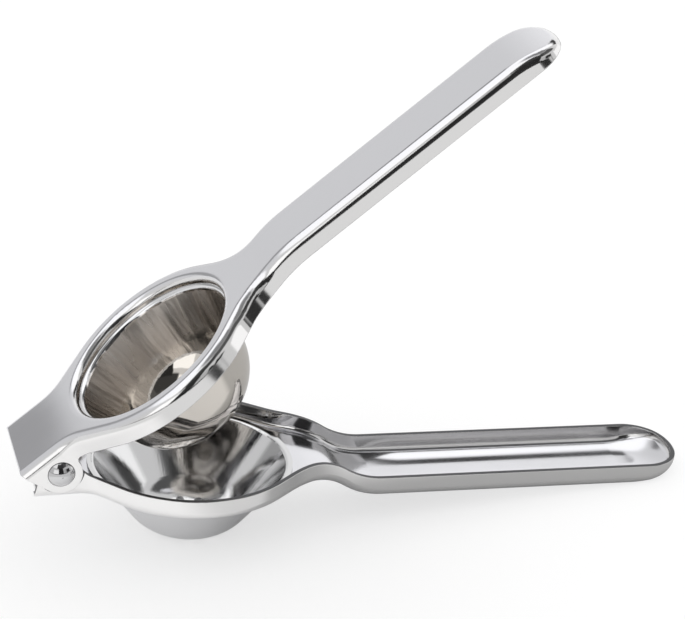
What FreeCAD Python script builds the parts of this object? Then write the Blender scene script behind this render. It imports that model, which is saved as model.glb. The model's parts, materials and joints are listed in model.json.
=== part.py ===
import FreeCAD, Part
import math
import os

# Hinged citrus squeezer: two pressed steel arms on one rivet, a press cup in the upper
# ring and a drained strainer bowl in the lower ring.
#
# Each arm is drawn as it lies on the bench, open side up: the rivet's axis is Y through
# the origin and the handle runs along +X. The upper arm is then turned over and swung
# open, and the whole tool is set down on its bowl and its lower handle.

V = FreeCAD.Vector
X_AXIS = V(1, 0, 0)
Y_AXIS = V(0, 1, 0)
Z_AXIS = V(0, 0, 1)

SIZES = [
    ("sheet_gauge", 1.5, "steel of both arms"),
    ("bend_radius", 3.2, "outside radius where web turns into flange"),
    ("ring_from_hinge", 9.0, "rivet axis to the near side of the upper ring"),
    ("ring_radius", 37.3, "outside of the upper ring"),
    ("lower_ring_margin", 0.7, "how much larger the lower ring's radius is"),
    ("tip_side", 2.4, "width that a handle keeps beside the corners of its end"),
    ("tip_crown", 22.0, "radius across a handle's end"),
    ("tip_rise", 31.0, "degrees that the web turns up at the handle's end"),
    ("tip_run", 20.0, "length of the turned-up end"),
    ("upper_reach", 212.6, "rivet axis to the end of the upper handle"),
    ("upper_land", 7.3, "upper ring's edge to the bore of its collar"),
    ("upper_tab_half", 17.8, "half width over the upper ears"),
    ("upper_tab_end", 10.1, "rivet axis to the end of the upper web"),
    ("upper_flare_slope", 38.58, "degrees that the upper tab widens to its ring"),
    ("upper_flare_radius", 12.0, "concave radius from tab to ring"),
    ("upper_handle_half", 12.8, "half width of the upper handle"),
    ("upper_neck_slope", 46.64, "degrees that the upper ring narrows to its handle"),
    ("upper_neck_radius", 22.0, "concave radius from ring to handle"),
    ("upper_web_drop", 8.9, "rivet axis to the outer face of the upper web"),
    ("upper_flange_depth", 7.6, "outer face of the upper web to the flange's edge"),
    ("upper_jog_lap", 1.6, "far side of the ring back to where the arm starts to step away"),
    ("upper_jog_radius", 52.0, "radius of each half of the step"),
    ("upper_jog_angle", 14.0, "degrees of the step"),
    ("upper_splay", 0.6, "degrees that the upper handle leans away"),
    ("upper_ear_radius", 7.0, "upper ear round the rivet"),
    ("upper_ear_fillet", 2.0, "between upper ear and flange edge"),
    ("upper_heel_radius", 0.6, "corner of the upper ears at the web's end"),
    ("lower_reach", 222.0, "rivet axis to the end of the lower handle"),
    ("lower_land", 4.8, "lower ring's edge to the hole for the bowl"),
    ("ear_side_gap", 0.4, "between a lower ear and the upper ear outside it"),
    ("lower_tab_end", 8.4, "rivet axis to the lower heel"),
    ("lower_flare_slope", 48.37, "degrees that the lower tab widens to its ring"),
    ("lower_flare_radius", 8.0, "concave radius from tab to ring"),
    ("lower_handle_half", 15.9, "half width of the lower handle"),
    ("lower_neck_slope", 39.34, "degrees that the lower ring narrows to its handle"),
    ("lower_neck_radius", 34.0, "concave radius from ring to handle"),
    ("lower_web_drop", 9.9, "rivet axis to the outer face of the lower web"),
    ("lower_flange_depth", 7.4, "outer face of the lower web to the flange's edge"),
    ("lower_jog_lap", 1.8, "far side of the ring back to where the arm starts to step down"),
    ("lower_jog_radius", 25.4, "radius of each half of the step"),
    ("lower_jog_angle", 34.0, "degrees of the step"),
    ("lower_splay", 1.7, "degrees that the lower handle leans away"),
    ("lower_ear_radius", 6.3, "lower ear round the rivet"),
    ("lower_ear_fillet", 6.5, "between lower ear and rim"),
    ("lower_heel_radius", 1.2, "corner of the lower ears at their heel, which stops the opening"),
    ("lip_radius", 2.5, "where the upper web turns down into its collar"),
    ("collar_depth", 3.3, "outer face of the upper web to the collar's edge"),
    ("cup_gauge", 1.1, "steel of cup and bowl"),
    ("cup_step", 0.8, "collar's bore in to the cup's mouth"),
    ("cup_mouth_round", 1.5, "radius of the bend from the cup's rim into its hollow"),
    ("cup_rim_lap", 1.9, "cup's rim beyond the outside of the collar"),
    ("cup_wall_slope", 73.0, "degrees of the cup's wall from its rim plane"),
    ("cup_depth", 33.2, "rim to the outside of the cup's bottom"),
    ("cup_nose_flat", 3.8, "radius of the flat in the middle of the cup's nose"),
    ("bowl_fit_gap", 0.1, "bowl wall to the edge of its hole"),
    ("bowl_rim_lap", 1.4, "bowl's rim beyond its hole"),
    ("bowl_wall_slope", 53.0, "degrees of the bowl's wall from its rim plane"),
    ("bowl_depth", 25.0, "bowl's rim to the outside of its base"),
    ("bowl_base_flat", 6.1, "radius of the bowl's flat base"),
    ("drain_bore", 1.5, "radius of a drain hole"),
    ("drain_pitch", 6.0, "step from one ring of drain holes to the next"),
    ("drain_first_count", 6.0, "holes in the inner ring; the outer ring has twice as many"),
    ("rivet_radius", 2.6, "rivet shank"),
    ("rivet_running_gap", 0.05, "shank to the bores of the lower ears"),
    ("rivet_head_radius", 4.5, "domed heads"),
    ("rivet_head_height", 2.3, "height of a domed head"),
    ("open_angle", 39.35, "degrees between closed and the rest pose"),
]
CLEAR = 5.0   # how far a cutting tool runs past the steel that it cuts

# Bound sizes that more than one feature needs.
RING_CENTRE = "sizes.ring_from_hinge + sizes.ring_radius"
COLLAR_BORE = "sizes.ring_radius - sizes.upper_land"
BOWL_HOLE = "sizes.ring_radius + sizes.lower_ring_margin - sizes.lower_land"
ACROSS = "4 * sizes.ring_radius"


def make_sheet(doc):
    """Driving dimensions as plain cells, each with a word for its alias."""
    sheet = doc.addObject("Spreadsheet::Sheet", "sizes")
    for row, (name, value, meaning) in enumerate(SIZES, start=1):
        sheet.set("A%d" % row, name)
        sheet.set("B%d" % row, str(value))
        sheet.set("C%d" % row, meaning)
        sheet.setAlias("B%d" % row, name)
    doc.recompute()
    return sheet


class Pen:
    """Draws lines and tangent arcs in the plane of a sketch."""

    def __init__(self, x, y, heading=0.0):
        self.x, self.y, self.heading = x, y, heading
        self.edges = []

    def to(self, x, y):
        """Straight to a point; the heading follows."""
        if math.hypot(x - self.x, y - self.y) > 1e-6:
            self.edges.append(Part.LineSegment(V(self.x, self.y, 0), V(x, y, 0)))
            self.heading = math.degrees(math.atan2(y - self.y, x - self.x))
            self.x, self.y = x, y
        return self

    def ahead(self, length):
        """Straight on."""
        facing = math.radians(self.heading)
        return self.to(self.x + length * math.cos(facing), self.y + length * math.sin(facing))

    def arc(self, radius, turn):
        """Tangent arc through turn degrees, to the left when turn is positive."""
        side = math.copysign(radius, turn)
        facing = math.radians(self.heading)
        centre = V(self.x - side * math.sin(facing), self.y + side * math.cos(facing), 0)
        start = V(self.x, self.y, 0)
        middle, end = [centre + V(side * math.sin(angle), -side * math.cos(angle), 0)
                       for angle in (facing + math.radians(turn) / 2, facing + math.radians(turn))]
        self.edges.append(Part.Arc(start, middle, end))
        self.x, self.y = end.x, end.y
        self.heading += turn
        return self

    def close(self):
        """Straight back to the first point."""
        first = self.edges[0].StartPoint
        return self.to(first.x, first.y)


def sketch(doc, name, pen, upright=False):
    """A sketch of the pen's lines, flat on XY, or upright on XZ with its y along Z."""
    drawing = doc.addObject("Sketcher::SketchObject", name)
    if upright:
        drawing.Placement = FreeCAD.Placement(V(0, 0, 0), FreeCAD.Rotation(X_AXIS, 90))
    drawing.addGeometry(pen.edges, False)
    return drawing


def extrude(doc, name, drawing, direction, length):
    """Solid drawn out to both sides of its sketch, as long in all as the expression says."""
    solid = doc.addObject("Part::Extrusion", name)
    solid.Base = drawing
    solid.DirMode = "Custom"
    solid.Dir = direction
    solid.setExpression("LengthFwd", length)
    solid.Solid = True
    solid.Symmetric = True
    return solid


def revolve(doc, name, drawing, axis, at_ring=False):
    """Full turn of a sketch, about an axis through the origin or through the ring's centre."""
    solid = doc.addObject("Part::Revolution", name)
    solid.Source = drawing
    solid.Axis = axis
    if at_ring:
        solid.setExpression("Base.x", RING_CENTRE)
    solid.Angle = 360.0
    solid.Solid = True
    return solid


def boolean(doc, kind, name, base, tool):
    """Part::Cut or Part::Common of two objects."""
    result = doc.addObject("Part::" + kind, name)
    result.Base = base
    result.Tool = tool
    return result


def fuse(doc, name, pieces):
    """One object from several."""
    result = doc.addObject("Part::MultiFuse", name)
    result.Shapes = pieces
    return result


def cylinder(doc, name, radius, height, at, axis=Z_AXIS):
    """Cylinder standing at a point along an axis; its sizes are expressions."""
    solid = doc.addObject("Part::Cylinder", name)
    solid.setExpression("Radius", radius)
    solid.setExpression("Height", height)
    solid.Placement = FreeCAD.Placement(at, FreeCAD.Rotation(Z_AXIS, axis))
    return solid


def round_edges(doc, name, base, radius, wanted):
    """Part::Fillet of the edges that wanted() accepts."""
    doc.recompute()
    result = doc.addObject("Part::Fillet", name)
    result.Base = base
    result.Edges = [(number, radius, radius) for number, edge in enumerate(base.Shape.Edges, start=1)
                    if wanted(edge)]
    return result


class Arm:
    """Sizes of one arm: its own cells under its prefix, then those that both arms share."""

    def __init__(self, sheet, side):
        self.side = side
        for name, value, meaning in SIZES:
            if name.startswith(side + "_"):
                setattr(self, name[len(side) + 1:], getattr(sheet, name))
        self.gauge = sheet.sheet_gauge
        self.bend = sheet.bend_radius
        self.ring_centre = sheet.ring_from_hinge + sheet.ring_radius
        self.ring_radius = sheet.ring_radius
        if side == "lower":
            self.ring_radius += sheet.lower_ring_margin
            self.tab_half = sheet.upper_tab_half - sheet.sheet_gauge - sheet.ear_side_gap
        self.hole = self.ring_radius - self.land
        self.flare_start = self.ring_centre - self.flank(self.flare_slope, self.tab_half, self.flare_radius)
        self.neck_end = self.ring_centre + self.flank(self.neck_slope, self.handle_half, self.neck_radius)
        self.jog_start = self.ring_centre + self.ring_radius - self.jog_lap
        self.corner = self.handle_half - sheet.tip_side
        self.crown = sheet.tip_crown
        self.tip_rise = sheet.tip_rise
        self.tip_start = self.reach - sheet.tip_run
        self.tip_bend = sheet.tip_run / math.sin(math.radians(sheet.tip_rise))
        self.rim = self.flange_depth - self.web_drop

    def flank(self, slope, half, concave):
        """Ring's centre to where a straight side meets the arc that leads it to the ring."""
        lean = math.radians(slope)
        return (self.ring_radius + concave - (half + concave) * math.cos(lean)) / math.sin(lean)


def outline(arm, inset, tab_end):
    """Plan of an arm all round, moved inwards by inset."""
    half = arm.tab_half - inset
    grip = arm.handle_half - inset
    ring = arm.ring_radius - inset
    flare = arm.flare_radius + inset
    neck = arm.neck_radius + inset
    corner = arm.corner - inset
    crown = arm.crown - inset
    flare_rad, neck_rad = math.radians(arm.flare_slope), math.radians(arm.neck_slope)
    flare_x = arm.flare_start + flare * math.sin(flare_rad)
    flare_y = half + flare * (1 - math.cos(flare_rad))
    neck_x = arm.neck_end - neck * math.sin(neck_rad)
    neck_y = grip + neck * (1 - math.cos(neck_rad))
    tip_slope = math.asin((grip - corner) / (crown - corner))
    corner_x = arm.reach - arm.crown + (crown - corner) * math.cos(tip_slope)
    corner_turn = 90.0 - math.degrees(tip_slope)

    pen = Pen(-tab_end, -half)
    pen.to(arm.flare_start, -half).arc(flare, -arm.flare_slope)
    pen.to(arm.ring_centre - ring * math.sin(flare_rad), -ring * math.cos(flare_rad))
    pen.arc(ring, arm.flare_slope + arm.neck_slope)
    pen.to(neck_x, -neck_y).arc(neck, -arm.neck_slope)
    pen.to(corner_x, -grip).arc(corner, corner_turn).arc(crown, 180.0 - 2 * corner_turn)
    pen.arc(corner, corner_turn).to(arm.neck_end, grip).arc(neck, -arm.neck_slope)
    pen.to(arm.ring_centre + ring * math.sin(neck_rad), ring * math.cos(neck_rad))
    pen.arc(ring, arm.flare_slope + arm.neck_slope)
    pen.to(flare_x, flare_y).arc(flare, -arm.flare_slope)
    return pen.to(-tab_end, half).close()


def web_line(arm, start, raised):
    """Side view of the web from the tab to past the tip, raised square to itself."""
    pen = Pen(start, raised - arm.web_drop)
    pen.to(arm.jog_start, raised - arm.web_drop)
    pen.arc(arm.jog_radius + raised, -arm.jog_angle)
    pen.arc(arm.jog_radius - raised, arm.jog_angle - arm.splay)
    lean = math.radians(arm.splay)
    pen.ahead((arm.tip_start + raised * math.sin(lean) - pen.x) / math.cos(lean))
    return pen


def blank(doc, arm, name, inset, tab_end):
    """The space inside an arm's skin: its outline above its web, rounded where they meet."""
    headroom = arm.ear_radius + CLEAR + inset
    plan = sketch(doc, name + "_plan", outline(arm, inset, tab_end))
    prism = extrude(doc, name + "_prism", plan, Z_AXIS, "sizes.%s_reach" % arm.side)
    side = web_line(arm, -tab_end - CLEAR, inset)
    side.arc(arm.tip_bend - inset, arm.tip_rise).ahead(CLEAR * 2)
    side.to(side.x, headroom).to(-tab_end - CLEAR, headroom).close()
    slab = extrude(doc, name + "_slab", sketch(doc, name + "_side", side, True), Y_AXIS, ACROSS)
    block = boolean(doc, "Common", name + "_block", prism, slab)

    def meets_web(edge):
        """Not a seam across the web, not an upright seam and not at the open top."""
        box = edge.BoundBox
        return box.XLength > 0.01 and box.ZMax < headroom - 0.01

    return round_edges(doc, name, block, arm.bend - inset, meets_web)


def trim_line(arm):
    """Side view that the skin is cut back to: heel, ear round the rivet, then the rim."""
    heel = arm.heel_radius
    behind = arm.tab_end - heel
    above = arm.web_drop - heel
    ear = arm.ear_radius
    flank = math.degrees(math.atan2(above, behind) + math.asin((ear - heel) / math.hypot(behind, above)))
    root = arm.rim + arm.ear_fillet
    root_x = math.sqrt((ear + arm.ear_fillet) ** 2 - root ** 2)
    round_to = math.degrees(math.atan2(root, root_x))

    pen = Pen(-behind, -arm.web_drop, 180.0)
    pen.arc(heel, flank - 180.0)
    pen.to(-ear * math.sin(math.radians(flank)), ear * math.cos(math.radians(flank)))
    pen.arc(ear, round_to - 90.0 - flank).arc(arm.ear_fillet, 90.0 - round_to)
    pen.to(arm.jog_start, arm.rim)
    pen.arc(arm.jog_radius, -arm.jog_angle).arc(arm.jog_radius, arm.jog_angle - arm.splay)
    pen.ahead((arm.reach + CLEAR - pen.x) / math.cos(math.radians(arm.splay)))
    floor = -arm.reach / 4
    return pen.to(pen.x, floor).to(-behind, floor).close()


def pressed_arm(doc, arm):
    """Channel section pressed from one sheet, open at the tab and closed round the tip."""
    side = arm.side
    skin = boolean(doc, "Cut", side + "_skin", blank(doc, arm, side + "_blank", 0.0, arm.tab_end),
                   blank(doc, arm, side + "_hollow", arm.gauge, arm.tab_end + CLEAR))
    trim = extrude(doc, side + "_trim", sketch(doc, side + "_trim_line", trim_line(arm), True), Y_AXIS,
                   ACROSS)
    return boolean(doc, "Common", side + "_pressing", skin, trim)


def rivet_bore(doc, name, arm, radius):
    """Cutter through both ears of an arm."""
    start = V(0, -arm.tab_half - CLEAR, 0)
    return cylinder(doc, name, radius, "2 * sizes.upper_tab_half + 10", start, Y_AXIS)


def make_upper_arm(doc, arm):
    """Upper arm: its ring's web turns down into a short collar round the hole."""
    web = V(arm.ring_centre, 0, -arm.web_drop)
    boss = cylinder(doc, "collar_wall", COLLAR_BORE + " + sizes.sheet_gauge", "sizes.collar_depth", web)
    body = fuse(doc, "upper_with_collar", [pressed_arm(doc, arm), boss])
    hole = cylinder(doc, "collar_hole", COLLAR_BORE, "sizes.collar_depth + 10", web - Z_AXIS * CLEAR)
    bore = rivet_bore(doc, "upper_rivet_bore", arm, "sizes.rivet_radius")
    cutters = fuse(doc, "upper_cutters", [hole, bore])
    pierced = boolean(doc, "Cut", "upper_pierced", body, cutters)

    def is_hole_edge(edge):
        """The hole's edge in the outer face of the web."""
        box = edge.BoundBox
        on_face = abs(box.ZMax + arm.web_drop) < 0.01
        return on_face and abs(box.YMax - arm.hole) < 0.01

    return round_edges(doc, "upper_arm", pierced, doc.sizes.lip_radius, is_hole_edge)


def make_lower_arm(doc, arm):
    """Lower arm: a plain hole for the bowl, and its web stopped short of the heels."""
    corner = V(-arm.tab_end - CLEAR, arm.bend - arm.tab_half, -arm.web_drop - CLEAR)
    hole = cylinder(doc, "bowl_hole", BOWL_HOLE, "sizes.lower_web_drop", V(arm.ring_centre, 0, corner.z))
    bore = rivet_bore(doc, "lower_rivet_bore", arm, "sizes.rivet_radius + sizes.rivet_running_gap")
    notch = doc.addObject("Part::Box", "heel_notch")
    notch.setExpression("Length", "sizes.lower_heel_radius + 5")
    notch.setExpression("Width", "2 * (sizes.upper_tab_half - sizes.sheet_gauge - sizes.ear_side_gap"
                                 " - sizes.bend_radius)")
    notch.setExpression("Height", "sizes.lower_web_drop")
    notch.Placement.Base = corner
    cutters = fuse(doc, "lower_cutters", [hole, bore, notch])
    return boolean(doc, "Cut", "lower_arm", pressed_arm(doc, arm), cutters)


def rounded(corners):
    """Pen that follows (x, y, radius) corners, each rounded by its own radius."""
    pen = Pen(corners[0][0], corners[0][1])
    for (ax, ay, _), (x, y, radius), (bx, by, _) in zip(corners, corners[1:], corners[2:]):
        into, out = math.atan2(y - ay, x - ax), math.atan2(by - y, bx - x)
        turn = math.remainder(out - into, 2 * math.pi)
        cut = radius * math.tan(abs(turn) / 2)
        pen.to(x - cut * math.cos(into), y - cut * math.sin(into)).arc(radius, math.degrees(turn))
    return pen.to(corners[-1][0], corners[-1][1])


def shifted(corners, gap):
    """The same corners moved square to the line, to the right by gap, with radii that keep it even."""
    moved = []
    for number, (x, y, radius) in enumerate(corners):
        before = corners[max(number - 1, 0)]
        here = corners[number]
        after = corners[min(number + 1, len(corners) - 1)]
        into = math.atan2(here[1] - before[1], here[0] - before[0]) if number else None
        out = math.atan2(after[1] - here[1], after[0] - here[0]) if after is not here else into
        into = out if into is None else into
        turn = math.remainder(out - into, 2 * math.pi)
        middle = into + turn / 2
        reach = gap / math.cos(turn / 2)
        moved.append((x + reach * math.sin(middle), y - reach * math.cos(middle),
                      radius + math.copysign(gap, turn) if radius else 0.0))
    return moved


def pressed_shell(doc, name, corners, gauge):
    """Round pressing of even thickness: its profile runs from the rim to the ring's centre line."""
    one, other = rounded(corners), rounded(shifted(corners, gauge))
    pen = Pen(corners[0][0], corners[0][1])
    pen.edges = one.edges
    pen.x, pen.y = one.x, one.y
    pen.to(other.x, other.y)
    pen.edges += other.edges
    start = other.edges[0].StartPoint
    pen.x, pen.y = start.x, start.y
    pen.close()
    return revolve(doc, name, sketch(doc, name + "_profile", pen, True), Z_AXIS, True)


def make_press_cup(doc, arm):
    """Cup with a round nose; its rim lies on the edge of the collar."""
    sheet = doc.sizes
    top = sheet.collar_depth - arm.web_drop
    slope = math.radians(sheet.cup_wall_slope)
    height = sheet.cup_depth - sheet.cup_gauge
    mouth = arm.hole - sheet.cup_step
    foot = mouth - height / math.tan(slope)
    nose = (foot - sheet.cup_nose_flat) / math.tan(slope / 2)
    centre = arm.ring_centre
    corners = [(centre + arm.hole + arm.gauge + sheet.cup_rim_lap, top, 0.0),
               (centre + mouth, top, sheet.cup_mouth_round),
               (centre + foot, top + height, nose), (centre, top + height, 0.0)]
    return pressed_shell(doc, "press_cup", corners, sheet.cup_gauge)


def bowl_corners(sheet, arm):
    """Underside of the bowl from its rim to the middle of its base."""
    seat = arm.gauge - arm.web_drop
    base = seat - (sheet.bowl_depth - sheet.cup_gauge)
    mouth = arm.hole - sheet.bowl_fit_gap
    slope = math.radians(sheet.bowl_wall_slope)
    foot = mouth - (seat - base) / math.tan(slope)
    base_round = (foot - sheet.bowl_base_flat) / math.tan(slope / 2)
    rim_bend = sheet.bowl_fit_gap / math.tan(slope / 2)
    centre = arm.ring_centre
    return [(centre + arm.hole + sheet.bowl_rim_lap, seat, 0.0), (centre + mouth, seat, rim_bend),
            (centre + foot, base, base_round), (centre, base, 0.0)]


def make_strainer_bowl(doc, arm):
    """Bowl that hangs by its rim in the lower ring, its base drilled in rings."""
    sheet = doc.sizes
    corners = bowl_corners(sheet, arm)
    shell = pressed_shell(doc, "bowl_shell", corners, sheet.cup_gauge)
    floor = corners[-1][1] - CLEAR
    drains = []
    for ring in (1, 2):
        count = int(sheet.drain_first_count) * ring
        for number in range(count):
            angle = 2 * math.pi * (number + 0.5 * ring) / count
            away = V(math.cos(angle), math.sin(angle), 0) * sheet.drain_pitch * ring
            drains.append(cylinder(doc, "drain_%d_%d" % (ring, number), "sizes.drain_bore",
                                   "sizes.bowl_depth", V(arm.ring_centre, 0, floor) + away))
    return boolean(doc, "Cut", "strainer_bowl", shell, fuse(doc, "drains", drains))


def make_rivet(doc):
    """Rivet with a domed head on the outside of each upper ear."""
    sheet = doc.sizes
    reach = sheet.upper_tab_half
    head, height = sheet.rivet_head_radius, sheet.rivet_head_height
    dome = (head ** 2 + height ** 2) / (2 * height)
    spread = math.degrees(math.asin(head / dome))
    pen = Pen(0, -reach - height)
    pen.arc(dome, spread).to(head, -reach).to(sheet.rivet_radius, -reach).to(sheet.rivet_radius, reach)
    pen.to(head, reach)
    pen.heading = 180.0 - spread
    pen.arc(dome, spread).close()
    return revolve(doc, "hinge_rivet", sketch(doc, "rivet_profile", pen), Y_AXIS)


def rest_tilt(sheet, lower):
    """Degrees that the lower arm leans when it lies on the bowl's base and its own tip."""
    _, _, (_, base, round_base), _ = bowl_corners(sheet, lower)
    tip = web_line(lower, 0.0, 0.0)
    lean = math.radians(lower.splay)
    tip_x = tip.x + lower.tip_bend * math.sin(lean)
    tip_z = tip.y + lower.tip_bend * math.cos(lean)
    run = tip_x - (lower.ring_centre + sheet.bowl_base_flat)
    rise = tip_z - (base + round_base)
    share = (lower.tip_bend - round_base) / math.hypot(run, rise)
    return math.degrees(math.atan2(rise, run) - math.asin(share))


def set_down(doc, lower_pieces, upper_pieces, tilt):
    """Turn the upper pieces over and open them, lean it all to rest and centre it on the floor."""
    lean = FreeCAD.Placement(V(0, 0, 0), FreeCAD.Rotation(Y_AXIS, tilt))
    opened = FreeCAD.Rotation(Y_AXIS, -doc.sizes.open_angle) * FreeCAD.Rotation(X_AXIS, 180)
    for piece in lower_pieces:
        piece.Placement = lean
    for piece in upper_pieces:
        piece.Placement = lean * FreeCAD.Placement(V(0, 0, 0), opened)
    doc.recompute()
    whole = FreeCAD.BoundBox()
    for piece in lower_pieces + upper_pieces:
        whole.add(piece.Shape.optimalBoundingBox(False, False))
    shift = V(-whole.Center.x, -whole.Center.y, -whole.ZMin)
    for piece in lower_pieces + upper_pieces:
        piece.Placement = FreeCAD.Placement(shift, FreeCAD.Rotation()) * piece.Placement
    return shift


def check(doc, pieces):
    """Stop when a feature failed or a sub-part is not one sound solid."""
    for item in doc.Objects:
        if "Invalid" in item.State or "Error" in item.State:
            raise RuntimeError("%s is %s" % (item.Name, item.State))
    for piece in pieces:
        if piece.Shape.isNull() or not piece.Shape.isValid() or len(piece.Shape.Solids) != 1:
            raise RuntimeError("%s is not one sound solid" % piece.Label)


def main():
    doc = FreeCAD.newDocument("citrus_squeezer")
    sheet = make_sheet(doc)
    lower, upper = Arm(sheet, "lower"), Arm(sheet, "upper")
    lower_pieces = [make_lower_arm(doc, lower), make_strainer_bowl(doc, lower)]
    upper_pieces = [make_upper_arm(doc, upper), make_press_cup(doc, upper), make_rivet(doc)]
    pieces = lower_pieces + upper_pieces
    for piece in pieces:
        piece.Label = piece.Name
    doc.recompute()
    tilt = rest_tilt(sheet, lower)
    shift = set_down(doc, lower_pieces, upper_pieces, tilt)
    doc.recompute()
    check(doc, pieces)
    os.makedirs("parts", exist_ok=True)
    for piece in pieces:
        piece.Shape.exportStep("parts/%s.step" % piece.Label)
        print("%s: %.0f cubic mm" % (piece.Label, piece.Shape.Volume))
    lean = lower_pieces[0].Placement
    base = lean.multVec(V(lower.ring_centre, 0, bowl_corners(sheet, lower)[-1][1]))
    print("leans %.3f degrees; rivet axis at %s; base at %s" % (tilt, tuple(shift), tuple(base)))


main()
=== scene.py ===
# %% [markdown]
# # A hinged citrus squeezer of pressed steel
# The tool is two steel arms on one rivet. The upper arm carries a round-nosed cup, the lower
# arm a drained bowl. The measured model comes in as fixed solids; this lesson gives them their
# polished and brushed steel, and builds the white studio that such steel needs to look like steel.

# %% Load the measured frame
import bpy
import json
import math
from mathutils import Matrix, Vector

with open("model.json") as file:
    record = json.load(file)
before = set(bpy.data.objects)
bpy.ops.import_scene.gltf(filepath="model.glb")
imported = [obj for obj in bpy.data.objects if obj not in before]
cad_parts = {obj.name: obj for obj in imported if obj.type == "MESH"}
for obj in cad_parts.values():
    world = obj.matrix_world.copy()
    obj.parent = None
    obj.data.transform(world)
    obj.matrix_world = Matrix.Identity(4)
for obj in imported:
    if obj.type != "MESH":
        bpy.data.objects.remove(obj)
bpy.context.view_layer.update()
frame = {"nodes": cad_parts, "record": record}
print("nodes:", sorted(frame["nodes"]))

# %% [markdown]
# The tool's own directions. The lower arm leans a few degrees, because the tool lies on its bowl
# and on the tip of its lower handle. The upper arm is swung up about the rivet. A pattern that
# follows an arm needs these angles, because a node's coordinates are those of the whole tool.

# %% Angles and places on the tool
REST_LEAN = math.radians(4.146)
OPEN_ANGLE = math.radians(39.35)
RING_CENTRE = 0.0463
upper_lean = REST_LEAN - OPEN_ANGLE
hinge = Vector(frame["record"]["behaviour"]["joints"][0]["pos_m"])


def on_arm(lean, along, out):
    """A point of an arm: so far along it from the rivet, and so far out from the rivet's plane."""
    return hinge + Matrix.Rotation(lean, 3, "Y") @ Vector((along, 0.0, out))


upper_ring = on_arm(upper_lean, RING_CENTRE, 0.0)
lower_ring = on_arm(REST_LEAN, RING_CENTRE, 0.0)
print("rivet axis at", tuple(round(v, 4) for v in hinge))
print("middle of the upper ring at", tuple(round(v, 4) for v in upper_ring))


# %% [markdown]
# ## Shared finishes
# Steel shows its making in fine parallel lines, left by the belt or by the tool that turned it.
# A stretched noise gives such lines. It is one node group with named inputs, so that every
# steel places it with its own direction and its own strength.

# %% Small helpers for node trees
def link(tree, source, target):
    tree.links.new(source, target)


def node(tree, kind, label, **values):
    """A named node with some of its input sockets set."""
    made = tree.nodes.new(kind)
    made.label = label
    for name, value in values.items():
        made.inputs[name.replace("_", " ")].default_value = value
    return made


def feed(tree, value, socket):
    """Set a socket to a number or a tuple, or link another socket to it."""
    if isinstance(value, (int, float, tuple)):
        socket.default_value = value
    else:
        link(tree, value, socket)


def math_node(tree, operation, one, other=None):
    """A Math node; each operand is a socket or a number."""
    made = tree.nodes.new("ShaderNodeMath")
    made.operation = operation
    for slot, value in zip(made.inputs, (one, other)):
        if value is not None:
            feed(tree, value, slot)
    return made.outputs[0]


def product(tree, first, *others):
    """Sockets or numbers multiplied together."""
    for other in others:
        first = math_node(tree, "MULTIPLY", first, other)
    return first


def vector_math(tree, operation, one, other=None):
    """A Vector Math node; each operand is a socket or a tuple."""
    made = tree.nodes.new("ShaderNodeVectorMath")
    made.operation = operation
    for slot, value in zip(made.inputs, (one, other)):
        if value is not None:
            feed(tree, value, slot)
    return made


def split(tree, vector):
    """The X, Y and Z of a vector."""
    parts = tree.nodes.new("ShaderNodeSeparateXYZ")
    link(tree, vector, parts.inputs[0])
    return parts.outputs


def ramp(tree, value, low, high, at_low=0.0, at_high=1.0, kind="SMOOTHSTEP"):
    """A step from at_low to at_high; it is smooth unless kind is LINEAR."""
    step = node(tree, "ShaderNodeMapRange", "ramp")
    step.interpolation_type = kind
    for socket, number in (("From Min", low), ("From Max", high), ("To Min", at_low), ("To Max", at_high)):
        step.inputs[socket].default_value = number
    link(tree, value, step.inputs["Value"])
    return step.outputs[0]


def new_group(name, inputs, outputs):
    """An empty shader node group with float or vector sockets."""
    tree = bpy.data.node_groups.new(name, "ShaderNodeTree")
    for title, kind, value in inputs:
        socket = tree.interface.new_socket(title, in_out="INPUT", socket_type=kind)
        if value is not None:
            socket.default_value = value
    for title, kind in outputs:
        tree.interface.new_socket(title, in_out="OUTPUT", socket_type=kind)
    return tree, tree.nodes.new("NodeGroupInput"), tree.nodes.new("NodeGroupOutput")


# %% Group: grinding lines
def make_grinding_lines():
    """Fine lines along the first axis of Vector, with a broad drift across them."""
    tree, given, out = new_group(
        "grinding_lines",
        [("Vector", "NodeSocketVector", None), ("Fineness", "NodeSocketFloat", 900.0),
         ("Stretch", "NodeSocketFloat", 0.02)],
        [("Lines", "NodeSocketFloat"), ("Drift", "NodeSocketFloat")])
    axes = split(tree, given.outputs["Vector"])
    squeezed = tree.nodes.new("ShaderNodeCombineXYZ")
    link(tree, product(tree, axes["X"], given.outputs["Stretch"]), squeezed.inputs["X"])
    for axis in "YZ":
        link(tree, axes[axis], squeezed.inputs[axis])
    fine = node(tree, "ShaderNodeTexNoise", "lines", Detail=3.0, Roughness=0.6)
    link(tree, squeezed.outputs[0], fine.inputs["Vector"])
    link(tree, given.outputs["Fineness"], fine.inputs["Scale"])
    broad = node(tree, "ShaderNodeTexNoise", "drift", Scale=35.0, Detail=2.0)
    link(tree, squeezed.outputs[0], broad.inputs["Vector"])
    link(tree, fine.outputs[0], out.inputs["Lines"])
    link(tree, broad.outputs[0], out.inputs["Drift"])
    return tree


grinding_lines = make_grinding_lines()
print("group", grinding_lines.name)


# %% [markdown]
# Polished steel that has been handled is never evenly sharp: a faint haze from fingers and
# washing blurs the reflection in soft patches. The haze only changes the roughness.

# %% Group: handling haze
HAZE_FROM, HAZE_TO = 0.4, 0.7     # the part of the noise that is spread over 0 to 1


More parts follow.
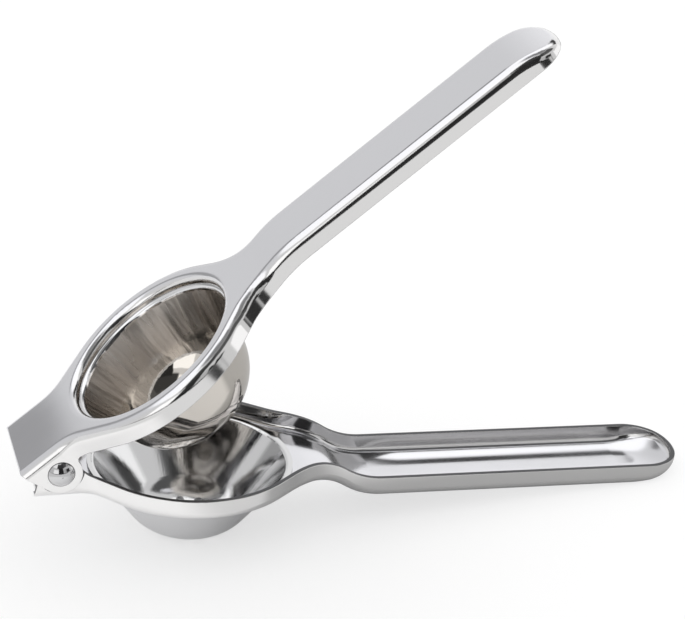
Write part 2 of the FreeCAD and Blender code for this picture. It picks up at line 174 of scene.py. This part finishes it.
def make_handling_haze():
    """Soft patches from 0 to 1."""
    tree, given, out = new_group(
        "handling_haze",
        [("Vector", "NodeSocketVector", None), ("Patch Size", "NodeSocketFloat", 28.0)],
        [("Haze", "NodeSocketFloat")])
    cloud = node(tree, "ShaderNodeTexNoise", "haze", Detail=4.0, Roughness=0.55)
    link(tree, given.outputs["Vector"], cloud.inputs["Vector"])
    link(tree, given.outputs["Patch Size"], cloud.inputs["Scale"])
    link(tree, ramp(tree, cloud.outputs[0], HAZE_FROM, HAZE_TO, kind="LINEAR"), out.inputs["Haze"])
    return tree


handling_haze = make_handling_haze()
print("group", handling_haze.name)


# %% [markdown]
# The cup and the bowl are drawn from flat discs. The maker's polishing wheel follows the metal
# from the rim to the bottom, so their lines run like spokes. The pattern turns the direction
# from the middle into a place on a ring, so there is no seam.

# %% Group: drawn spokes
FLAT = (1.0, 1.0, 0.0)             # leaves out the height above the ring
SPOKE_CHANGE = (0.0, 0.0, 6.0)     # how fast a spoke changes along the axis, per metre


def make_drawn_spokes():
    """Streaks that run from the middle outwards: a fine set and a broad one."""
    tree, given, out = new_group(
        "drawn_spokes",
        [("Vector", "NodeSocketVector", None)],
        [("Fine", "NodeSocketFloat"), ("Broad", "NodeSocketFloat")])
    flat = vector_math(tree, "MULTIPLY", given.outputs["Vector"], FLAT)
    spoke = vector_math(tree, "NORMALIZE", flat.outputs[0])
    depth = vector_math(tree, "MULTIPLY_ADD", given.outputs["Vector"], SPOKE_CHANGE)
    link(tree, spoke.outputs[0], depth.inputs[2])
    fine = node(tree, "ShaderNodeTexNoise", "fine spokes", Scale=38.0, Detail=3.0, Roughness=0.65)
    broad = node(tree, "ShaderNodeTexNoise", "broad spokes", Scale=3.2, Detail=2.0)
    for texture, socket in ((fine, "Fine"), (broad, "Broad")):
        link(tree, depth.outputs[0], texture.inputs["Vector"])
        link(tree, texture.outputs[0], out.inputs[socket])
    return tree


drawn_spokes = make_drawn_spokes()
print("group", drawn_spokes.name)


# %% Helpers for the steels
def bare_steel(name, colour):
    """A metal with nothing on it yet: its material, tree and shader."""
    material = bpy.data.materials.new(name)
    material.use_nodes = True
    tree = material.node_tree
    shader = tree.nodes["Principled BSDF"]
    shader.inputs["Base Color"].default_value = (*colour, 1.0)
    shader.inputs["Metallic"].default_value = 1.0
    return material, tree, shader


def placed(tree, lean, centre):
    """Coordinates along an arm, measured from a point of it."""
    place = node(tree, "ShaderNodeMapping", "along the arm")
    place.vector_type = "TEXTURE"
    place.inputs["Location"].default_value = centre
    place.inputs["Rotation"].default_value = (0.0, lean, 0.0)
    link(tree, tree.nodes.new("ShaderNodeTexCoord").outputs["Object"], place.inputs["Vector"])
    return place.outputs[0]


def group_node(tree, group, vector):
    """A node group in a material, fed with coordinates."""
    made = tree.nodes.new("ShaderNodeGroup")
    made.node_tree = group
    link(tree, vector, made.inputs["Vector"])
    return made


def add_up(tree, value, factor, base):
    """value * factor + base; factor and base are numbers or sockets."""
    total = math_node(tree, "MULTIPLY_ADD", value, factor)
    feed(tree, base, total.node.inputs[2])
    return total


def colour_mix(tree, amount, one, other):
    """From one colour to the other; each is a tuple or a socket."""
    mix = tree.nodes.new("ShaderNodeMix")
    mix.data_type = "RGBA"
    link(tree, amount, mix.inputs[0])
    for slot, colour in ((6, one), (7, other)):
        feed(tree, (*colour, 1.0) if isinstance(colour, tuple) else colour, mix.inputs[slot])
    return mix.outputs[2]


def float_mix(tree, amount, one, other):
    """From one value to the other; each is a number or a socket."""
    mix = tree.nodes.new("ShaderNodeMix")
    mix.data_type = "FLOAT"
    link(tree, amount, mix.inputs[0])
    for slot, value in ((2, one), (3, other)):
        feed(tree, value, mix.inputs[slot])
    return mix.outputs[0]


def towards_mouth(tree, lean, out):
    """Above 0 where the steel faces a point of the ring's axis, so far out from the rivet's plane."""
    coordinates = tree.nodes.new("ShaderNodeTexCoord")
    mouth = tuple(on_arm(lean, RING_CENTRE, out))
    to_mouth = vector_math(tree, "SUBTRACT", mouth, coordinates.outputs["Object"])
    facing = vector_math(tree, "DOT_PRODUCT", to_mouth.outputs[0], coordinates.outputs["Normal"])
    return facing.outputs["Value"]


def bump(tree, height, distance, normal=None):
    """Relief; distance is how high it stands, in metres, where the height rises by 1."""
    made = node(tree, "ShaderNodeBump", "relief", Strength=1.0, Distance=distance)
    link(tree, height, made.inputs["Height"])
    if normal is not None:
        link(tree, normal, made.inputs["Normal"])
    return made.outputs[0]


def finish_node(name, material):
    """Give a measured node its finish."""
    piece = frame["nodes"][name]
    piece.data.materials.clear()
    piece.data.materials.append(material)
    print(name, "gets", material.name)


# %% [markdown]
# ## The arms
# Both arms are pressed from 1.5 mm stainless strip, deburred in a tumbler and buffed to a mirror.
# The tumbler rounds every edge a little; the Bevel node gives the edges that round. The shears
# leave a coarse face on the cut edge of the rim and of the ears, which no buff reaches; that face
# is painted nearly black, a painted shade that draws the dark line along these edges.
#
# A pressing is also not as flat as its drawing. The webs are a little uneven, the tab between
# the upper ears curls, the flange twists where the ring runs into the handle, and the lower
# handle's web is hollow across. These leans are given to the surface direction only, and leave
# the measured shape alone. They reach about 12 degrees on the tab and in the twist, and 20 at
# the sides of the hollow. The amounts are a guess, set against the photograph.

# %% Arm steel
EDGE_ROUND = 0.00045
# The web is a little bluer and the flange a little warmer: a painted reflection tint, cool from the room
# above and behind, warm from the front.
WEB_STEEL = (0.67, 0.67, 0.695)
FLANGE_STEEL = (0.675, 0.67, 0.667)
# Painted shade: nearly black on the cut edges, in the gap round the upper ear and round the rivet's heads.
PAINTED_SHADE_DARK = (0.10, 0.10, 0.105)
EAR_END = 0.0155           # how far along an arm its ears reach
EAR_EDGE_DEPTH = 0.0055    # less deep than this, an ear shows its cut edge
RIM_EDGE_DEPTH = 0.0009
UPPER_EAR_RADIUS = 0.0070  # round its edge, a thin ring of painted gap shadow lies in the corner
GAP_SHADOW_WIDTH = 0.0009
RIM_FACING = -0.75         # a cut rim faces away from the web by more than this
EAR_FACING = 0.5           # an ear's cut edge faces sideways by less than this
WEB_FACING = (0.5, 0.95)   # from flange to web, by how much the steel faces in or out
UNEVEN = (-0.3, 0.1, 0.0)  # how far the web leans where its broad unevenness is strongest
HAIRLINE = 0.0000012
EDGE_SAMPLES = 6
BARE_ROUGH, HAZE_ROUGH, LINE_ROUGH, WEB_ROUGH, CUT_ROUGH = 0.045, 0.05, 0.04, 0.06, 0.3


def depth_below_rim(tree, axes, side, rim, step):
    """How far the steel lies from its rim towards the web; the rim steps with the handle."""
    start, end, rise, slope = step
    jogged = ramp(tree, axes["X"], start, end, 0.0, side * rise)
    beyond = math_node(tree, "MAXIMUM", math_node(tree, "SUBTRACT", axes["X"], end), 0.0)
    leaning = add_up(tree, beyond, side * slope, jogged)
    from_rim = math_node(tree, "SUBTRACT", math_node(tree, "SUBTRACT", axes["Z"], leaning), rim)
    return product(tree, from_rim, side)


def direction_on_arm(tree, lean):
    """Which way the steel faces, in the arm's own directions."""
    turned = node(tree, "ShaderNodeMapping", "direction on the arm")
    turned.vector_type = "TEXTURE"
    turned.inputs["Rotation"].default_value = (0.0, lean, 0.0)
    link(tree, tree.nodes.new("ShaderNodeTexCoord").outputs["Normal"], turned.inputs["Vector"])
    return turned.outputs[0]


# %% Cut edges and painted gap shadow
def cut_edges_and_shade(tree, axes, facing, depth, outwards):
    """1 on the sheared edges of the rim and of the ears; they are coarse, and are painted dark as shade.
    """
    on_rim = product(tree, math_node(tree, "LESS_THAN", depth, RIM_EDGE_DEPTH),
                     math_node(tree, "LESS_THAN", outwards, RIM_FACING))
    sideways = math_node(tree, "ABSOLUTE", facing["Y"])
    on_ear = product(tree, math_node(tree, "LESS_THAN", depth, EAR_EDGE_DEPTH),
                     math_node(tree, "LESS_THAN", axes["X"], EAR_END),
                     math_node(tree, "LESS_THAN", sideways, EAR_FACING))
    return math_node(tree, "MAXIMUM", on_rim, on_ear)


def ear_gap_shadow(tree, axes):
    """1 in a thin ring on the lower arm, in the corner where the upper ear ends on it: a painted gap
    shadow.
    """
    squares = add_up(tree, axes["Z"], axes["Z"], product(tree, axes["X"], axes["X"]))
    middle = UPPER_EAR_RADIUS + GAP_SHADOW_WIDTH / 2
    corner = math_node(tree, "COMPARE", math_node(tree, "SQRT", squares), middle)
    corner.node.inputs[2].default_value = GAP_SHADOW_WIDTH / 2
    return corner


# %% Surface direction with leans
def leaned_normal(tree, lean, total):
    """The direction of the rounded surface, leaned by a vector in the arm's directions."""
    back = node(tree, "ShaderNodeMapping", "back to the tool's directions", Rotation=(0.0, lean, 0.0))
    link(tree, total, back.inputs["Vector"])
    world = tree.nodes.new("ShaderNodeVectorTransform")
    world.vector_type = "VECTOR"
    world.convert_from = "OBJECT"
    world.convert_to = "WORLD"
    link(tree, back.outputs[0], world.inputs[0])
    rounded = node(tree, "ShaderNodeBevel", "round edges", Radius=EDGE_ROUND)
    rounded.samples = EDGE_SAMPLES
    leaned = vector_math(tree, "ADD", rounded.outputs[0], world.outputs[0])
    return vector_math(tree, "NORMALIZE", leaned.outputs[0]).outputs[0]


# %% Steel of one arm
def arm_steel(name, lean, side, rim, step, leans):
    """Mirror steel of one arm; leans is a function that builds its leans in arm directions."""
    material, tree, shader = bare_steel(name, WEB_STEEL)
    vector = placed(tree, lean, tuple(hinge))
    lines = group_node(tree, grinding_lines, vector)
    haze = group_node(tree, handling_haze, vector)
    axes = split(tree, vector)
    facing = split(tree, direction_on_arm(tree, lean))
    depth = depth_below_rim(tree, axes, side, rim, step)
    outwards = product(tree, facing["Z"], side)
    cut_and_shade = cut_edges_and_shade(tree, axes, facing, depth, outwards)
    # The lower arm also gets a painted gap shadow round the upper ear.
    if side < 0:
        cut_and_shade = math_node(tree, "MAXIMUM", cut_and_shade, ear_gap_shadow(tree, axes))
    web = ramp(tree, math_node(tree, "ABSOLUTE", outwards), *WEB_FACING)

    # Painted reflection tint: bluer where the steel faces in or out, warmer on the flanges.
    tint = colour_mix(tree, web, FLANGE_STEEL, WEB_STEEL)
    # The cut edges and the gap get painted shade in their colour; the cut edges' coarseness is in the
    # roughness.
    link(tree, colour_mix(tree, cut_and_shade, tint, PAINTED_SHADE_DARK), shader.inputs["Base Color"])
    soft = add_up(tree, haze.outputs["Haze"], HAZE_ROUGH, BARE_ROUGH)
    soft = add_up(tree, lines.outputs["Lines"], LINE_ROUGH, add_up(tree, web, WEB_ROUGH, soft))
    link(tree, add_up(tree, cut_and_shade, CUT_ROUGH, soft), shader.inputs["Roughness"])

    drift = product(tree, math_node(tree, "SUBTRACT", lines.outputs["Drift"], 0.5), web)
    uneven = vector_math(tree, "SCALE", UNEVEN)
    link(tree, drift, uneven.inputs["Scale"])
    total = vector_math(tree, "ADD", uneven.outputs[0], leans(tree, axes, facing, depth, web))
    normal = leaned_normal(tree, lean, total.outputs[0])
    link(tree, bump(tree, lines.outputs["Lines"], HAIRLINE, normal), shader.inputs["Normal"])
    return material


# %% Leans of the upper arm
TAB_FROM, TAB_TO = 0.026, -0.006               # along the arm, where the tab's curl grows
TAB_CURL = (-0.2, -0.08)                       # along and across the arm
TWIST_IN, TWIST_FULL = 0.0745, 0.0790          # along the arm, where the neck's twist grows
TWIST_FALLS, TWIST_OUT = 0.0800, 0.0860        # and where it fades
TWIST = (-0.19, 0.2, 0.19)                     # along, the way the flange faces, and out


def upper_leans(tree, axes, facing, depth, web):
    """The tab curls towards its end; the flange twists at the neck."""
    tab = product(tree, ramp(tree, axes["X"], TAB_FROM, TAB_TO), web)
    rising = ramp(tree, axes["X"], TWIST_IN, TWIST_FULL)
    falling = ramp(tree, axes["X"], TWIST_OUT, TWIST_FALLS)
    twist = product(tree, rising, falling, math_node(tree, "SUBTRACT", 1.0, web))
    along, across, out = TWIST
    made = tree.nodes.new("ShaderNodeCombineXYZ")
    link(tree, add_up(tree, tab, TAB_CURL[0], product(tree, twist, along)), made.inputs["X"])
    link(tree, add_up(tree, tab, TAB_CURL[1], product(tree, twist, facing["Y"], across)), made.inputs["Y"])
    link(tree, product(tree, twist, out), made.inputs["Z"])
    return made.outputs[0]


# %% Leans of the lower arm
HOLLOW_FROM, HOLLOW_TO = 0.0023, 0.0119   # distance from the handle's middle line
HOLLOW_LEAN = 0.36
HOLLOW_STARTS, HOLLOW_FULL = 0.100, 0.125  # along the arm
TIP_MIDDLE = 0.206                        # beyond this the hollow turns round the handle's end
INSIDE_FACING, INSIDE_DEPTH = 0.6, 0.002  # the web's inner face looks up, below the rim


def lower_leans(tree, axes, facing, depth, web):
    """The inside of the handle's web is hollow across and round its end."""
    past = math_node(tree, "MAXIMUM", math_node(tree, "SUBTRACT", axes["X"], TIP_MIDDLE), 0.0)
    outward = tree.nodes.new("ShaderNodeCombineXYZ")
    link(tree, past, outward.inputs["X"])
    link(tree, axes["Y"], outward.inputs["Y"])
    away = vector_math(tree, "LENGTH", outward.outputs[0]).outputs["Value"]
    amount = ramp(tree, away, HOLLOW_FROM, HOLLOW_TO, 0.0, -HOLLOW_LEAN, kind="LINEAR")
    inside = product(tree, math_node(tree, "GREATER_THAN", facing["Z"], INSIDE_FACING),
                     math_node(tree, "GREATER_THAN", depth, INSIDE_DEPTH))
    handle = product(tree, ramp(tree, axes["X"], HOLLOW_STARTS, HOLLOW_FULL), inside)
    middle = vector_math(tree, "NORMALIZE", outward.outputs[0])
    made = vector_math(tree, "SCALE", middle.outputs[0])
    link(tree, product(tree, amount, handle), made.inputs["Scale"])
    return made.outputs[0]


# %% Steel on both arms
# Side of the web, rim from the rivet's plane, then the handle's step: start, end, height, slope.
UPPER_FORM = (1.0, 0.0013, (0.0820, 0.1066, 0.0031, 0.0105))
LOWER_FORM = (-1.0, -0.0025, (0.0818, 0.1095, 0.0087, 0.0297))
finish_node("upper_arm", arm_steel("upper_arm_steel", upper_lean, *UPPER_FORM, upper_leans))
finish_node("lower_arm", arm_steel("lower_arm_steel", REST_LEAN, *LOWER_FORM, lower_leans))


# %% [markdown]
# ## The press cup
# Outside and at the nose the cup is polished, because that is what touches the fruit and gets
# rinsed. Its hollow keeps the satin spokes of the drawing; its colour there is a little warmer
# and darker, the darkness being painted shade of the hollow.

# %% Cup steel
CUP_MOUTH_OUT = 0.009      # a point of the cup's axis just above its mouth
NOSE_FROM, NOSE_TO = -0.0085, -0.0125
RIM_FROM, RIM_TO = 0.0046, 0.0038
CUP_OUTSIDE = (0.64, 0.605, 0.56)
# Painted shade: the hollow's wall is darker than the outside.
CUP_HOLLOW_SHADED = (0.505, 0.47, 0.435)
CUP_RIM = (0.67, 0.67, 0.68)
POLISHED_ROUGH = (0.04, 0.05)    # what haze adds, and the least
SATIN_ROUGH = (0.25, 0.14)       # what the broad spokes add, and the least
CUP_WAVES, CUP_STREAKS = 0.0018, 0.00005


def cup_steel():
    """Polished outside and nose; satin spokes on the wall of the hollow, which is painted darker as shade.
    """
    material, tree, shader = bare_steel("cup_steel", CUP_OUTSIDE)
    vector = placed(tree, upper_lean, tuple(upper_ring))
    spokes = group_node(tree, drawn_spokes, vector)
    haze = group_node(tree, handling_haze, vector)
    hollow = math_node(tree, "GREATER_THAN", towards_mouth(tree, upper_lean, CUP_MOUTH_OUT), 0.0)
    height = split(tree, vector)["Z"]
    below_rim = ramp(tree, height, RIM_FROM, RIM_TO)
    wall = product(tree, hollow, ramp(tree, height, NOSE_TO, NOSE_FROM), below_rim)
    tint = colour_mix(tree, below_rim, CUP_RIM, CUP_OUTSIDE)
    link(tree, colour_mix(tree, wall, tint, CUP_HOLLOW_SHADED), shader.inputs["Base Color"])
    polished = add_up(tree, haze.outputs["Haze"], *POLISHED_ROUGH)
    satin = add_up(tree, spokes.outputs["Broad"], *SATIN_ROUGH)
    link(tree, float_mix(tree, wall, polished, satin), shader.inputs["Roughness"])
    streaks = product(tree, math_node(tree, "SUBTRACT", spokes.outputs["Fine"], 0.5), wall)
    waves = product(tree, math_node(tree, "SUBTRACT", spokes.outputs["Broad"], 0.5), wall)
    first = bump(tree, waves, CUP_WAVES)
    link(tree, bump(tree, streaks, CUP_STREAKS, first), shader.inputs["Normal"])
    return material


finish_node("press_cup", cup_steel())


# %% [markdown]
# ## The strainer bowl and the rivet
# The bowl is polished inside and satin outside, where it stands on the cup or jug. The rivet is
# headed cold and buffed; the fine rings on its domes come from the heading tool.

# %% Bowl steel
BOWL_STEEL = (0.62, 0.62, 0.625)
BOWL_MOUTH_OUT = 0.004     # a point of the bowl's axis just above its rim
BOWL_ROUGH = (0.06, 0.06)  # what haze adds, and the least
OUTSIDE_ROUGH = 0.17       # what the satin outside adds
BOWL_STREAKS = 0.00002


def bowl_steel():
    """Polished hollow, satin outside."""
    material, tree, shader = bare_steel("bowl_steel", BOWL_STEEL)
    vector = placed(tree, REST_LEAN, tuple(lower_ring))
    spokes = group_node(tree, drawn_spokes, vector)
    haze = group_node(tree, handling_haze, vector)
    outside = math_node(tree, "LESS_THAN", towards_mouth(tree, REST_LEAN, BOWL_MOUTH_OUT), 0.0)
    polished = add_up(tree, haze.outputs["Haze"], *BOWL_ROUGH)
    link(tree, add_up(tree, outside, OUTSIDE_ROUGH, polished), shader.inputs["Roughness"])
    link(tree, bump(tree, spokes.outputs["Fine"], BOWL_STREAKS), shader.inputs["Normal"])
    return material


finish_node("strainer_bowl", bowl_steel())


# %% Rivet steel
RIVET_STEEL = (0.50, 0.50, 0.505)
HEAD_SHADOW_FROM, HEAD_SHADOW_TO = 0.0042, 0.0044   # painted contact shadow in the corner round a head
ACROSS_RIVET = (1.0, 0.0, 1.0)              # leaves out the place along the rivet
RIVET_ROUGH = (0.05, 0.05)                  # what haze adds, and the least
RING_RELIEF = 0.0000008


def rivet_steel():
    """Buffed domes with fine rings about the rivet's axis, painted dark beyond the head's edge as contact
    shadow.
    """
    material, tree, shader = bare_steel("rivet_steel", RIVET_STEEL)
    vector = placed(tree, 0.0, tuple(hinge))
    haze = group_node(tree, handling_haze, vector)
    flat = vector_math(tree, "MULTIPLY", vector, ACROSS_RIVET)
    away = vector_math(tree, "LENGTH", flat.outputs[0]).outputs["Value"]
    rings = node(tree, "ShaderNodeTexNoise", "rings", Scale=5200.0, Detail=2.0)
    rings.noise_dimensions = "1D"
    link(tree, away, rings.inputs["W"])
    # Beyond the head's edge the rivet is painted dark: a painted contact shadow.
    head_shadow = ramp(tree, away, HEAD_SHADOW_FROM, HEAD_SHADOW_TO)
    link(tree, colour_mix(tree, head_shadow, RIVET_STEEL, PAINTED_SHADE_DARK), shader.inputs["Base Color"])
    link(tree, add_up(tree, haze.outputs["Haze"], *RIVET_ROUGH), shader.inputs["Roughness"])
    link(tree, bump(tree, rings.outputs[0], RING_RELIEF), shader.inputs["Normal"])
    return material


finish_node("hinge_rivet", rivet_steel())

# %% [markdown]
# ## The white studio
# Polished steel shows only what stands round it. The photographer works in a white room with a
# pale table. White panels hang on the left and behind, and the dark part of the room behind the
# camera and high on the right draws the black lines along the bends and darkens the hollows.
# Panels and flags are drawn by direction: the azimuth is 0 behind the tool and 90 on its right.
# They were placed by comparing the steel's tones with the photograph's.

# %% Group: window
def make_window():
    """1 inside a rectangle of directions, fading over Soft degrees at its edges."""
    tree, given, out = new_group(
        "window",
        [("Azimuth", "NodeSocketFloat", 0.0), ("Height", "NodeSocketFloat", 0.0),
         ("Middle", "NodeSocketFloat", 0.0), ("Half Width", "NodeSocketFloat", 20.0),
         ("Level", "NodeSocketFloat", 0.0), ("Half Height", "NodeSocketFloat", 20.0),
         ("Soft", "NodeSocketFloat", 5.0)],
        [("Mask", "NodeSocketFloat")])
    turned = math_node(tree, "SUBTRACT", given.outputs["Azimuth"], given.outputs["Middle"])
    around = math_node(tree, "WRAP", turned, 180.0)
    around.node.inputs[2].default_value = -180.0
    raised = math_node(tree, "SUBTRACT", given.outputs["Height"], given.outputs["Level"])
    sides = []
    for away, half in ((around, "Half Width"), (raised, "Half Height")):
        past = math_node(tree, "SUBTRACT", math_node(tree, "ABSOLUTE", away), given.outputs[half])
        fade = math_node(tree, "DIVIDE", past, given.outputs["Soft"])
        sides.append(ramp(tree, fade, -0.5, 0.5, 1.0, 0.0))
    link(tree, product(tree, *sides), out.inputs["Mask"])
    return tree


window = make_window()


# %% Room
WALL_LEVEL = 0.85
# Title, middle azimuth, half width, middle elevation, half height, softness (all in degrees) and
# brightness. A later row covers an earlier one.
PANELS = [
    ("dim overhead", 0, 181, 90, 20, 8, 0.3),
    ("bright back wall", 40, 34, 5, 36, 40, 1.18),
    ("bright ceiling behind the tool", 10, 52, 62, 16, 4, 1.5),
    ("dark gap between wall and ceiling", 41.5, 20.5, 36.5, 6.5, 2, 0.05),
    ("grey corner on the left", -43, 12, 16, 26, 7, 0.45),
    ("dark line above the grey corner", -33, 11, 35, 4, 3, 0.2),
    ("ceiling panel on the left", -95, 54, 52, 15, 3, 1.45),
    ("dark ceiling on the right", 128, 40, 52, 16, 5, 0.12),
    ("dark ceiling behind the camera", 180, 30, 48, 14, 5, 0.06),
    ("grey curtain behind the camera", 143, 17, 12, 14, 4, 0.6),
    ("dark room behind the camera", 180, 17, 12, 26, 3, 0.03),
    ("dark doorway on the right", 131, 12, 11.5, 9.5, 3, 0.04),
    ("window panel at the left front", -146, 17, 10, 16, 2, 1.5),
    ("panel on the right", 82, 22, 8, 14, 3, 1.35),
]


def make_room():
    """White to the camera and for the light; panels and flags only in reflections."""
    world = bpy.data.worlds.new("white_studio")
    bpy.context.scene.world = world
    world.use_nodes = True
    tree = world.node_tree
    tree.nodes.clear()
    way = tree.nodes.new("ShaderNodeTexCoord")
    axes = split(tree, way.outputs["Generated"])
    turn = math_node(tree, "ARCTAN2", axes["X"], axes["Y"])
    azimuth = math_node(tree, "DEGREES", turn)
    height = math_node(tree, "DEGREES", math_node(tree, "ARCSINE", axes["Z"]))
    level = WALL_LEVEL
    for title, middle, half_width, raised, half_height, soft, brightness in PANELS:
        panel = tree.nodes.new("ShaderNodeGroup")
        panel.node_tree = window
        panel.label = title
        link(tree, azimuth, panel.inputs["Azimuth"])
        link(tree, height, panel.inputs["Height"])
        for socket, value in (("Middle", middle), ("Half Width", half_width), ("Level", raised),
                              ("Half Height", half_height), ("Soft", soft)):
            panel.inputs[socket].default_value = value
        level = float_mix(tree, panel.outputs[0], level, brightness)
    path = tree.nodes.new("ShaderNodeLightPath")
    strength = float_mix(tree, path.outputs["Is Glossy Ray"], 1.0, level)
    background = node(tree, "ShaderNodeBackground", "room", Color=(1, 1, 1, 1))
    link(tree, strength, background.inputs["Strength"])
    out = tree.nodes.new("ShaderNodeOutputWorld")
    link(tree, background.outputs[0], out.inputs["Surface"])


make_room()
print("room with", len(PANELS), "panels and flags")

# %% [markdown]
# The table is white and keeps a soft, pale shadow, which is painted deeper near the bowl's foot.
# In the steel it shows its front edge, where the white stops and the dark room begins, a painted
# shadow as a greyer patch in front of the lower handle, and painted light as a brighter patch by
# the hinge. The two patches are in its mirror image only.

# %% Table
TABLE_SIZE, TABLE_GAP = 8.0, 0.0002    # the gap keeps it clear of the tool's feet
TABLE_EDGE = -0.5
BOWL_FOOT = (-0.06, -0.03, 0.0)
HINGE_FOOT = (-0.118, -0.05, 0.0)
# Near the bowl's foot the table's own glow is less, so its real shadow reads deeper there: painted shade.
TABLE_SEEN = (0.42, 0.27)      # share of the light that the camera sees it give back:
TABLE_GLOW = (0.58, 0.75)      # at the bowl's foot and farther off; then its own glow
FOOT_FADE = (0.05, 0.15)       # between these distances from the bowl's foot they change
TABLE_LIGHTS = 0.93            # share of the light that it gives back to the tool
BEYOND_EDGE, EDGE_FADE = 0.04, 0.06            # the dark before the front edge, and its width
# A painted shadow in the table's mirror image, greyer in front of the lower handle.
SHADOW_PATCH_ACROSS, SHADOW_PATCH_ALONG = (-0.055, -0.037), (-0.06, -0.01)
PAINTED_SHADOW_GREY = 0.38
HINGE_FADE, HINGE_PAINTED_LIGHT = (0.04, 0.09), 1.33  # painted light in the mirror image by the hinge


def make_table():
    """A wide pale table top.

    The camera, the mirror images and the light on the tool each get their own brightness.
    """
    bpy.ops.mesh.primitive_plane_add(size=TABLE_SIZE, location=(0, 0, -TABLE_GAP))
    table = bpy.context.active_object
    table.name = "table_top"
    material = bpy.data.materials.new("table_white")
    material.use_nodes = True
    tree = material.node_tree
    shader = tree.nodes["Principled BSDF"]
    shader.inputs["Roughness"].default_value = 0.9
    shader.inputs["Specular IOR Level"].default_value = 0.0
    shader.inputs["Emission Color"].default_value = (1.0, 1.0, 1.0, 1.0)
    path = tree.nodes.new("ShaderNodeLightPath")
    coordinates = tree.nodes.new("ShaderNodeTexCoord").outputs["Object"]
    place = split(tree, coordinates)
    edge = ramp(tree, place["Y"], TABLE_EDGE - EDGE_FADE, TABLE_EDGE, BEYOND_EDGE, 1.0)
    # In the mirror image only: a painted shadow in front of the lower handle and painted light by the
    # hinge.
    near = ramp(tree, place["Y"], *SHADOW_PATCH_ACROSS, 0.0, PAINTED_SHADOW_GREY)
    painted_shadow_patch = product(tree, near, ramp(tree, place["X"], *SHADOW_PATCH_ALONG))
    from_hinge = vector_math(tree, "DISTANCE", coordinates, HINGE_FOOT).outputs["Value"]
    painted_light_patch = ramp(tree, from_hinge, *HINGE_FADE, HINGE_PAINTED_LIGHT, 1.0)
    mirrored = product(tree, edge, math_node(tree, "SUBTRACT", 1.0, painted_shadow_patch), painted_light_patch)
    from_foot = vector_math(tree, "DISTANCE", coordinates, BOWL_FOOT).outputs["Value"]
    seen = ramp(tree, from_foot, *FOOT_FADE, *TABLE_SEEN)
    pale = float_mix(tree, path.outputs["Is Camera Ray"], TABLE_LIGHTS, seen)
    shown = float_mix(tree, path.outputs["Is Glossy Ray"], pale, mirrored)
    grey = tree.nodes.new("ShaderNodeCombineColor")
    for channel in grey.inputs:
        link(tree, shown, channel)
    link(tree, grey.outputs[0], shader.inputs["Base Color"])
    glow = product(tree, path.outputs["Is Camera Ray"], ramp(tree, from_foot, *FOOT_FADE, *TABLE_GLOW))
    link(tree, glow, shader.inputs["Emission Strength"])
    table.data.materials.append(material)
    print("table top with its front edge at", TABLE_EDGE)


make_table()

# %% [markdown]
# ## Camera
# A long lens from the front left and above. Its place was worked out from the outline of the
# tool, so that the render can be laid over the photograph.

# %% Camera
CAMERA_PLACE = Vector((-0.18449, -0.66070, 0.40739))
CAMERA_TARGET = Vector((-0.00479, 0.0, 0.07430))
CAMERA_LENS = 120.38
CAMERA_ROLL = math.radians(-0.019)
camera_data = bpy.data.cameras.new("studio_camera")
camera_data.lens = CAMERA_LENS
camera_data.sensor_width = 36.0
camera_data.clip_start = 0.01
camera = bpy.data.objects.new("studio_camera", camera_data)
camera.location = CAMERA_PLACE
aim = (CAMERA_TARGET - CAMERA_PLACE).to_track_quat("-Z", "Y")
camera.rotation_euler = (aim.to_matrix() @ Matrix.Rotation(CAMERA_ROLL, 3, "Z")).to_euler()
bpy.context.scene.collection.objects.link(camera)
bpy.context.scene.camera = camera
bpy.context.scene.view_settings.view_transform = "Standard"
print("camera with a lens of", CAMERA_LENS, "mm")
